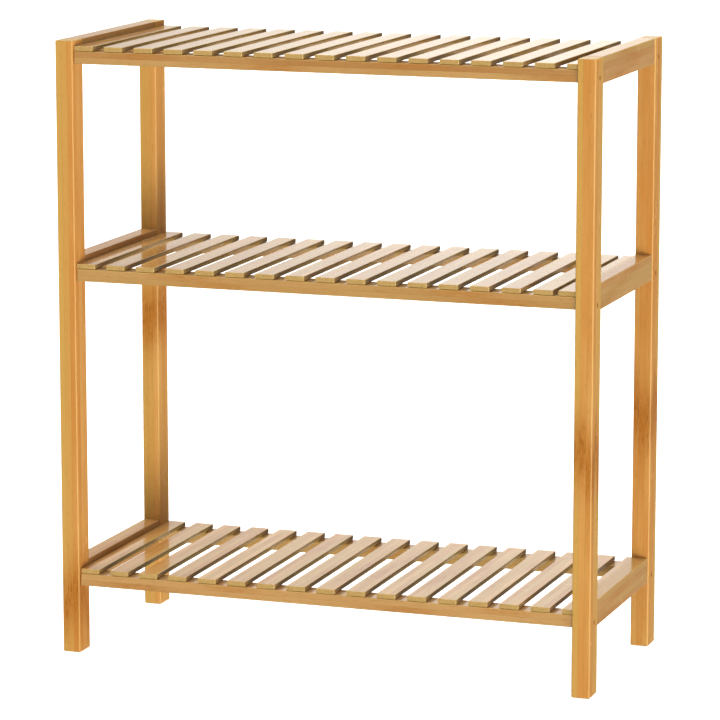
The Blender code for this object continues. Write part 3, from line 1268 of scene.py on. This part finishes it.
def dowel_tree() -> bpy.types.NodeTree:
    """Make the tree that puts a fluted dowel at each point, along Y.

    Returns:
        A tree with the dowel's length, radius, number of flutes and their depth, and the
        material as inputs.
    """
    inputs = {"Geometry": (GEOMETRY, None), "Length": (FLOAT, 0.018), "Radius": (FLOAT, 0.003),
              "Flutes": (INTEGER, 16), "Flute Depth": (FLOAT, 0.0003),
              "Material": (MATERIAL, None)}
    graph, given, end = new_group("Fluted dowels", "GeometryNodeTree", inputs,
                                  {"Geometry": GEOMETRY})
    inner = graph.math("SUBTRACT", given["Radius"], given["Flute Depth"])
    outline = graph.feed(graph.add("GeometryNodeCurveStar"), Points=given["Flutes"],
                         Inner_Radius=inner, Outer_Radius=given["Radius"])
    half = graph.math("MULTIPLY", given["Length"], 0.5)
    backwards = graph.math("MULTIPLY", half, -1.0)
    core = graph.feed(graph.add("GeometryNodeCurvePrimitiveLine"),
                      Start=graph.combine(0.0, backwards), End=graph.combine(0.0, half))
    solid = graph.feed(graph.add("GeometryNodeCurveToMesh"), Curve=core.outputs[0],
                       Profile_Curve=outline.outputs[0], Fill_Caps=True)
    placed = graph.feed(graph.add("GeometryNodeInstanceOnPoints"), Points=given["Geometry"],
                        Instance=solid.outputs[0])
    dress(graph, placed.outputs[0], given["Material"], end)
    return graph.tree


def points_mesh(name: str, points: list[Vector]) -> bpy.types.Mesh:
    """Make a mesh of loose points for a tree to work on.

    Args:
        name: the mesh's name.
        points: where the points lie.

    Returns:
        The mesh.
    """
    mesh = bpy.data.meshes.new(name)
    mesh.from_pydata([tuple(point) for point in points], [], [])
    return mesh


# --- Sub-assemblies -----------------------------------------------------------------------


@dataclass
class ScrewLayout:
    """Where the screws sit and how their holes are drilled.

    Attributes:
        head_gap: the clearance round the head.
        shank_radius: the radius of the shank, with no thread.
        sunk: how far below the leg's face the head lies.
        head_depth: how deep the head is.
    """

    head_gap: float = 0.3 * MM
    shank_radius: float = 1.6 * MM
    sunk: float = 1.5 * MM
    head_depth: float = 1.9 * MM

    @staticmethod
    def box(level: Level, face: Face, side: Side) -> tuple[Vector, Vector]:
        """Find a screw's lowest and highest corner."""
        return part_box(f"screw_{level.word}_{face.word}_{side.word}")

    def place(self, level: Level, face: Face, side: Side) -> Vector:
        """Find the middle of a screw's head, at its top.

        Args:
            level: the shelf it holds.
            face: the front or the back.
            side: the end of the rack.

        Returns:
            The point.
        """
        low, high = self.box(level, face, side)
        outer = high.x if side is Side.RIGHT else low.x
        return Vector((outer, (low.y + high.y) / 2, (low.z + high.z) / 2))

    def head_radius(self, level: Level, face: Face, side: Side) -> float:
        """Find the radius of a screw's head."""
        low, high = self.box(level, face, side)
        return (high.z - low.z) / 2

    def length(self) -> float:
        """Find a screw's length."""
        low, high = self.box(Level.TOP, Face.FRONT, Side.LEFT)
        return high.x - low.x


@dataclass
class SideLadder:
    """Two legs, the three side rails between them and their dowels.

    Attributes:
        side: which end of the rack it is.
        screws: where the screws pass.
        leg_ease: the radius of the legs' edges.
        rail_ease: the radius of the rails' edges.
        dowel_radius: the radius of a dowel.
        dowel_spread: the distance between the two dowels at a rail's end.
        clearance: the gap round a dowel or a shank.
    """

    side: Side
    screws: ScrewLayout
    leg_ease: float = 1.4 * MM
    rail_ease: float = 1.0 * MM
    dowel_radius: float = 3.0 * MM
    dowel_spread: float = 14.0 * MM
    clearance: float = 0.3 * MM

    @property
    def joints(self) -> dict[tuple[Face, Side], float]:
        """The height of the cane's joint on each leg."""
        return {(Face.FRONT, Side.LEFT): 0.055, (Face.FRONT, Side.RIGHT): 0.255,
                (Face.BACK, Side.LEFT): 0.345, (Face.BACK, Side.RIGHT): 0.262}

    def build(self, dowels: bpy.types.NodeTree, leg_material: bpy.types.Material,
              rail_material: bpy.types.Material, dowel_material: bpy.types.Material,
              chance: random.Random) -> None:
        """Make the ladder's pieces.

        Args:
            dowels: the tree that makes dowels.
            leg_material: what the legs are made of.
            rail_material: what the side rails are made of.
            dowel_material: what the dowels are made of.
            chance: where small irregularities come from.
        """
        for face in Face:
            name = f"leg_{face.word}_{self.side.word}"
            low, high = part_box(name)
            leg = Bar(name + "_bar", low, high, LEG_FINISH, self.leg_ease, self.leg_bores(face),
                      self.joints[face, self.side])
            finish_piece(leg.build(leg_material, chance), [name])
        for level in Level:
            self.build_rail(level, rail_material, chance)
        self.build_dowels(dowels, dowel_material)

    def rail_box(self, level: Level) -> tuple[Vector, Vector, float]:
        """Find a side rail's body without its dowels.

        Args:
            level: the shelf it belongs to.

        Returns:
            The body's lowest and highest corner, and how far the dowels stand out.
        """
        low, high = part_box(f"side_rail_{level.word}_{self.side.word}")
        front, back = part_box(f"leg_front_{self.side.word}"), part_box(f"leg_back_{self.side.word}")
        out = front[1].y - low.y
        low.y = front[1].y + self.clearance
        high.y = back[0].y - self.clearance
        return low, high, out

    def dowel_heights(self, level: Level) -> list[float]:
        """Find the heights of the two dowels at a rail's end.

        Args:
            level: the shelf that the rail belongs to.

        Returns:
            The lower and the upper height.
        """
        low, high, _ = self.rail_box(level)
        middle = (low.z + high.z) / 2
        return [middle - self.dowel_spread / 2, middle + self.dowel_spread / 2]

    def leg_bores(self, face: Face) -> list[Bore]:
        """List a leg's holes.

        Args:
            face: whether it is the front or the back leg.

        Returns:
            For each level the screw's recess, its clearance hole and the dowels' two holes.
        """
        inwards = Vector((-self.side.value, 0, 0))
        leg_low, leg_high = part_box(f"leg_{face.word}_{self.side.word}")
        thickness = leg_high.x - leg_low.x
        outer = leg_high.x if self.side is Side.RIGHT else leg_low.x
        bores = []
        for level in Level:
            head = self.screws.place(level, face, self.side)
            mouth = Vector((outer, head.y, head.z))
            recess = self.screws.sunk + self.screws.head_depth + self.screws.head_gap
            wide = self.screws.head_radius(level, face, self.side) + self.screws.head_gap
            narrow = self.screws.shank_radius + self.clearance
            bores.append(Bore(mouth, inwards, wide, recess, ease=0.15 * MM))
            bores.append(Bore(mouth + inwards * (recess - Bore.CLEAR / 2), inwards, narrow,
                              thickness))
            low, high, out = self.rail_box(level)
            middle = (low.x + high.x) / 2
            joint = leg_high.y if face is Face.FRONT else leg_low.y
            for height in self.dowel_heights(level):
                bores.append(Bore(Vector((middle, joint, height)), Vector((0, face.value, 0)),
                                  self.dowel_radius + self.clearance, out + self.clearance))
        return bores

    def build_rail(self, level: Level, material: bpy.types.Material,
                   chance: random.Random) -> None:
        """Make a side rail with the dowels' sockets in its ends.

        Args:
            level: the shelf it belongs to.
            material: what it is made of.
            chance: where small irregularities come from.
        """
        name = f"side_rail_{level.word}_{self.side.word}"
        low, high, out = self.rail_box(level)
        bores = []
        for height in self.dowel_heights(level):
            for end, inwards in ((low.y, 1), (high.y, -1)):
                bores.append(Bore(Vector(((low.x + high.x) / 2, end, height)),
                                  Vector((0, inwards, 0)), self.dowel_radius + self.clearance,
                                  out + self.clearance))
        rail = Bar(name + "_bar", low, high, SIDE_FINISH, self.rail_ease, bores, butted=0.75)
        finish_piece(rail.build(material, chance), [name])

    def build_dowels(self, tree: bpy.types.NodeTree, material: bpy.types.Material) -> None:
        """Put two dowels into each end of each side rail.

        Args:
            tree: the tree that makes dowels.
            material: what they are made of.
        """
        points, out = [], 0.0
        for level in Level:
            low, high, out = self.rail_box(level)
            for height in self.dowel_heights(level):
                for joint in (low.y - self.clearance, high.y + self.clearance):
                    points.append(Vector(((low.x + high.x) / 2, joint, height)))
        name = f"dowels_{self.side.word}"
        dowels = grow(name, tree, points_mesh(name, points), Length=2 * out,
                      Radius=self.dowel_radius, Material=material)
        store(dowels.data, "tone", "FLOAT", [0.5] * len(dowels.data.vertices))
        finish_piece(dowels, [])


@dataclass
class Shelf:
    """Two long rails, the slats on them and the four screws that hold the shelf.

    Attributes:
        level: which shelf it is.
        screws: where the screws sit.
        rail_depth: how deep a long rail is, front to back.
        rail_ease: the radius of the long rails' edges.
        end_gap: the joint line left at a long rail's ends.
        slat_ease: the radius of the slats' edges.
        slats: how many slats there are, with the ripped one.
        ripped_width: the width of the last slat.
    """

    level: Level
    screws: ScrewLayout
    rail_depth: float = 25.0 * MM
    rail_ease: float = 1.1 * MM
    end_gap: float = 0.2 * MM
    slat_ease: float = 0.75 * MM
    slats: int = 17
    ripped_width: float = 12.0 * MM

    RUNGS = (1, 4, 7, 11, 14, 17)
    CLEARANCE = 0.3 * MM

    def build(self, slat_tree: bpy.types.NodeTree, screw_maker: bpy.types.NodeTree,
              screw: bpy.types.Object, rail_material: bpy.types.Material,
              slat_material: bpy.types.Material, steel: bpy.types.Material,
              chance: random.Random) -> None:
        """Make the shelf's pieces.

        Args:
            slat_tree: the tree that lays slats.
            screw_maker: the tree that drives screws.
            screw: the screw that it repeats.
            rail_material: what the long rails are made of.
            slat_material: what the slats are made of.
            steel: what the screws are made of.
            chance: where small irregularities come from.
        """
        for face in Face:
            self.build_rail(face, rail_material, chance)
        self.build_slats(slat_tree, slat_material)
        self.build_screws(screw_maker, screw, steel)

    def slat_box(self, number: int) -> tuple[Vector, Vector]:
        """Find a loose slat's lowest and highest corner."""
        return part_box(f"slat_{self.level.word}_{number:02d}")

    def build_rail(self, face: Face, material: bpy.types.Material,
                   chance: random.Random) -> None:
        """Make a long rail with the screws' bores in its ends.

        Args:
            face: whether it is the front or the back rail.
            material: what it is made of.
            chance: where small irregularities come from.
        """
        node = f"shelf_frame_{self.level.word}"
        low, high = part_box(node)
        high.z = self.slat_box(2)[0].z - self.CLEARANCE
        if face is Face.FRONT:
            high.y = low.y + self.rail_depth
        else:
            low.y = high.y - self.rail_depth
        low.x += self.end_gap
        high.x -= self.end_gap
        bores = []
        for side in Side:
            head = self.screws.place(self.level, face, side)
            end = high.x if side is Side.RIGHT else low.x
            tip = head.x - side.value * self.screws.length()
            bores.append(Bore(Vector((end, head.y, head.z)), Vector((-side.value, 0, 0)),
                              self.screws.shank_radius + self.CLEARANCE,
                              abs(end - tip) + self.CLEARANCE))
        rail = Bar(f"long_rail_{self.level.word}_{face.word}", low, high, LONG_FINISH,
                   self.rail_ease, bores, butted=0.8)
        finish_piece(rail.build(material, chance), [node])

    def build_slats(self, tree: bpy.types.NodeTree, material: bpy.types.Material) -> None:
        """Lay the slats, the last one ripped to what is left of the width.

        Args:
            tree: the tree that lays slats.
            material: what they are made of.
        """
        second, third = self.slat_box(2), self.slat_box(3)
        size, pitch = second[1] - second[0], third[0].x - second[0].x
        first = (second[0] + second[1]) / 2 - Vector((pitch, 0, 0))
        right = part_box(f"shelf_frame_{self.level.word}")[1].x
        ripped = Vector((self.ripped_width, size.y, size.z))
        last = Vector((right - self.ripped_width / 2, first.y, first.z))
        slats = grow(f"slats_{self.level.word}", tree, points_mesh("start", []),
                     Whole_Slats=self.slats - 1, Pitch=pitch, First_Centre=first, Slat_Size=size,
                     Ripped_Centre=last, Ripped_Size=ripped, Edge_Radius=self.slat_ease,
                     Strip=Vector((SLAT_FINISH.strip[0], 0.0, SLAT_FINISH.strip[1])),
                     Seed=self.level.value, Material=material)
        Bar.smooth(slats)
        loose = [number for number in range(1, self.slats + 1) if number not in self.RUNGS]
        nodes = [f"slat_{self.level.word}_{number:02d}" for number in loose]
        finish_piece(slats, [*nodes, f"shelf_frame_{self.level.word}"])

    def build_screws(self, tree: bpy.types.NodeTree, screw: bpy.types.Object,
                     steel: bpy.types.Material) -> None:
        """Drive the shelf's four screws.

        Args:
            tree: the tree that drives screws.
            screw: the screw that it repeats.
            steel: what they are made of.
        """
        name = f"screws_{self.level.word}"
        corners = [(face, side) for face in Face for side in Side]
        points = [self.screws.place(self.level, face, side) for face, side in corners]
        screws = grow(name, tree, points_mesh(name, points), Screw=screw, Seed=self.level.value,
                      Material=steel)
        nodes = [f"screw_{self.level.word}_{face.word}_{side.word}" for face, side in corners]
        finish_piece(screws, nodes)


@dataclass
class Screw:
    """One wood screw with a socket head, standing head up at the origin.

    Attributes:
        length: its length.
        head_radius: the radius of its head.
        head_depth: how deep the head is, down to the shank.
        shank_radius: the radius of the shank.
        pitch: the rise of its thread in a turn.
        thread: how far the thread stands out.
        across: the width of its hexagon socket across the flats.
        socket_depth: how deep the socket is.
        sides: how many facets it has round.
    """

    length: float
    head_radius: float
    head_depth: float = 1.9 * MM
    shank_radius: float = 1.25 * MM
    pitch: float = 1.5 * MM
    thread: float = 0.35 * MM
    across: float = 2.2 * MM
    socket_depth: float = 1.2 * MM
    sides: int = 32

    def outline(self) -> list[tuple[float, float]]:
        """Give the turned outline as radius and height, from the top's middle to the tip.

        Returns:
            The points, with rings of thread worked out from its pitch.
        """
        rim, eased = 0.25 * MM, 3
        points = [(0.0, 0.0)]
        for step in range(eased + 1):
            angle = math.pi / 2 * step / eased
            points.append((self.head_radius - rim + rim * math.sin(angle),
                           -rim + rim * math.cos(angle)))
        points += [(self.head_radius, -0.5 * self.head_depth), (self.shank_radius, -self.head_depth)]
        taper = 3.0 * self.shank_radius
        height = -self.head_depth - 2.0 * self.pitch
        while height > -self.length + taper:
            points += [(self.shank_radius, height + 0.3 * self.pitch),
                       (self.shank_radius + self.thread, height),
                       (self.shank_radius, height - 0.3 * self.pitch)]
            height -= self.pitch
        points += [(self.shank_radius, -self.length + taper), (0.0, -self.length)]
        return points

    def build(self) -> bpy.types.Object:
        """Turn the screw and cut its socket.

        Returns:
            A helper object that isn't part of the rack.
        """
        mesh = bpy.data.meshes.new("screw")
        points = self.outline()
        mesh.from_pydata([(radius, 0.0, height) for radius, height in points],
                         [(place, place + 1) for place in range(len(points) - 1)], [])
        screw = add_object("screw_pattern", mesh)
        turn = screw.modifiers.new("turned", "SCREW")
        turn.steps = turn.render_steps = self.sides
        turn.use_merge_vertices = True
        turn.merge_threshold = 0.00001
        bake_down(screw)
        key = bmesh.new()
        corner = self.across / math.sqrt(3)
        bmesh.ops.create_cone(key, cap_ends=True, segments=6, radius1=corner, radius2=corner,
                              depth=2 * self.socket_depth)
        cut_out(screw, keep_mesh("key", key))
        shade_round(screw.data, 35)
        return screw


# --- Studio -------------------------------------------------------------------------------


@dataclass
class Studio:
    """A pale floor, a plain surround with soft light in it, and the camera.

    Attributes:
        around: the surround's strength where no light stands.
        under: the strength of what comes up from below.
        overhead: the strength of the diffuser above.
        backdrop: the strength of the bright backdrop behind the rack.
        backdrop_turn: where the backdrop's middle is, in degrees to the right of the front.
        fill: the strength of the high soft light at the left back.
        fill_turn: where the fill stands, in degrees to the right of the front.
        key: the strength of the big, low soft light at the right front.
        key_turn: where the key stands, in degrees to the right of the front.
        floor_glow: the floor's own light, as a lit table gives.
        floor_size: the length of the floor's sides.
        seen_white: how bright the surround looks where nothing stands before it.
        lens: the camera's focal length in millimetres, on a 36 mm sensor.
        distance: how far it stands from what it looks at.
        turn: how far it stands to the right of the front, in degrees.
        drop: how far it looks down, in degrees.
        aim: the point that it looks at.
    """

    around: float = 0.17
    under: float = 0.15
    overhead: float = 1.5
    backdrop: float = 1.05
    backdrop_turn: float = 188.0
    fill: float = 3.4
    fill_turn: float = 235.0
    key: float = 10.0
    key_turn: float = 48.0
    floor_glow: float = 0.8
    floor_size: float = 60.0
    seen_white: float = 1.1
    lens: float = 192.6
    distance: float = 4.196
    turn: float = 19.43
    drop: float = 10.34
    aim: Vector = field(default_factory=lambda: Vector((-0.0005, 0.0, 0.3208)))

    LAMP_COLOUR = (1.0, 0.955, 0.885)
    HORIZON = (-0.05, 0.05)
    OVERHEAD_BAND = (0.68, 0.86)
    BACKDROP_WIDTH = (0.94, 0.9925)
    BACKDROP_FOOT = (-0.03, 0.05)
    BACKDROP_HEAD = (0.1, 0.6)
    KEY_WIDTH = (0.48, 0.85)
    KEY_FOOT = (-0.39, -0.2)
    KEY_HEAD = (-0.14, 0.06)
    FILL_WIDTH = (0.1, 0.9)
    FILL_FOOT = (0.26, 0.42)
    FILL_HEAD = (0.6, 0.85)

    def build(self) -> None:
        """Set up the whole studio."""
        self.build_floor()
        self.build_surround()
        self.build_camera()
        bpy.context.scene.view_settings.view_transform = "Standard"

    @staticmethod
    def direction(turn: float, drop: float) -> Vector:
        """Find the direction towards something.

        Args:
            turn: how far to the right of the front it stands, in degrees.
            drop: how far below the horizon it lies, in degrees.

        Returns:
            The direction, of length 1.
        """
        turned, dropped = math.radians(turn), math.radians(drop)
        return Vector((math.sin(turned) * math.cos(dropped), -math.cos(turned) * math.cos(dropped),
                       -math.sin(dropped)))

    def build_floor(self) -> None:
        """Lay the pale floor, which is seen but throws no light back at the rack."""
        half = self.floor_size / 2
        mesh = bpy.data.meshes.new("floor")
        mesh.from_pydata([(-half, -half, 0), (half, -half, 0), (half, half, 0), (-half, half, 0)],
                         [], [(0, 1, 2, 3)])
        floor = add_object("floor", mesh)
        material, graph, shader = start_material("pale_floor")
        grey = graph.noise(graph.add("ShaderNodeTexCoord").outputs["Object"], 3.0).outputs[0]
        tint = graph.mix(grey, (0.84, 0.84, 0.84), (0.87, 0.87, 0.87))
        graph.put(shader.inputs["Base Color"], tint)
        set_sockets(shader, Roughness=0.9, Emission_Color=(1.0, 1.0, 1.0, 1.0),
                    Emission_Strength=self.floor_glow, Specular_IOR_Level=0.0)
        mesh.materials.append(material)
        floor.visible_diffuse = floor.visible_glossy = floor.visible_shadow = False

    def build_surround(self) -> None:
        """Light the rack from all round, and show the camera a plain white backdrop."""
        world = bpy.data.worlds.new("surround")
        bpy.context.scene.world = world
        world.use_nodes = True
        graph = Graph(world.node_tree)
        background = world.node_tree.nodes["Background"]
        towards = graph.add("ShaderNodeTexCoord").outputs["Generated"]
        height = graph.separate(towards)["Z"]
        light = graph.fade(height, *self.HORIZON, self.under, self.around)
        above = graph.fade(height, *self.OVERHEAD_BAND, 0.0, self.overhead)
        lamps = ((self.backdrop, self.backdrop_turn, self.BACKDROP_WIDTH, self.BACKDROP_FOOT,
                  self.BACKDROP_HEAD),
                 (self.fill, self.fill_turn, self.FILL_WIDTH, self.FILL_FOOT, self.FILL_HEAD),
                 (self.key, self.key_turn, self.KEY_WIDTH, self.KEY_FOOT, self.KEY_HEAD))
        parts = [above]
        for strength, turn, width, foot, head in lamps:
            upright = graph.math("MULTIPLY", graph.fade(height, *foot),
                                 graph.fade(height, *head, strength, 0.0))
            parts.append(graph.math("MULTIPLY", self.bearing(graph, towards, turn, *width),
                                    upright))
        for part in parts:
            light = graph.math("ADD", light, part)
        seen = graph.add("ShaderNodeLightPath").outputs["Is Camera Ray"]
        rest = graph.math("MULTIPLY", seen, graph.math("SUBTRACT", self.seen_white, light))
        graph.put(background.inputs["Color"], graph.mix(seen, self.LAMP_COLOUR, (1.0, 1.0, 1.0)))
        graph.put(background.inputs["Strength"], graph.math("ADD", light, rest))

    def bearing(self, graph: Graph, towards: Socket, turn: float, none: float,
                full: float) -> Socket:
        """Mask the part of the surround that stands one way from the rack.

        Args:
            graph: the surround's graph.
            towards: the direction looked in.
            turn: the way it stands, in degrees to the right of the front.
            none: how far that way a direction leans where the mask starts.
            full: how far it leans where the mask is full.

        Returns:
            The mask's socket.
        """
        flat = graph.vector("NORMALIZE", graph.vector("MULTIPLY", towards, (1.0, 1.0, 0.0)))
        lean = graph.add("ShaderNodeVectorMath", operation="DOT_PRODUCT")
        graph.put(lean.inputs[0], flat)
        graph.put(lean.inputs[1], tuple(self.direction(turn, 0.0)))
        return graph.fade(lean.outputs["Value"], none, full)

    def build_camera(self) -> None:
        """Point the camera at the rack from its right and a little above."""
        camera_data = bpy.data.cameras.new("camera")
        camera_data.lens = self.lens
        camera_data.sensor_width = 36.0
        camera_data.clip_end = 200.0
        camera = add_object("camera", camera_data)
        towards_camera = self.direction(self.turn, -self.drop)
        camera.location = self.aim + towards_camera * self.distance
        camera.rotation_mode = "QUATERNION"
        camera.rotation_quaternion = (-towards_camera).to_track_quat("-Z", "Y")
        bpy.context.scene.camera = camera


def main() -> None:
    """Build the rack and its studio, and log each piece's count of faces."""
    logging.basicConfig(level=logging.INFO, format="%(message)s")
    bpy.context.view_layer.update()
    finishes = {finish.name: finish.make() for finish in
                (LEG_FINISH, SIDE_FINISH, LONG_FINISH, SLAT_FINISH, DOWEL_FINISH, STEEL_FINISH)}
    layout = ScrewLayout()
    chance = random.Random(7)
    dowels, slats, screws = dowel_tree(), slat_row_tree(), screw_tree()
    for side in Side:
        SideLadder(side, layout).build(dowels, finishes["bamboo_legs"],
                                       finishes["bamboo_side_rails"], finishes["beech_dowels"],
                                       chance)
    head = layout.head_radius(Level.TOP, Face.FRONT, Side.LEFT)
    pattern = Screw(layout.length(), head).build()
    for level in Level:
        ripped = 19.0 * MM if level is Level.MIDDLE else 12.0 * MM
        Shelf(level, layout, ripped_width=ripped).build(
            slats, screws, pattern, finishes["bamboo_long_rails"], finishes["bamboo_slats"],
            finishes["bronzed_steel"], chance)
    bpy.data.objects.remove(pattern, do_unlink=True)
    Studio().build()


if __name__ == "__main__":
    main()
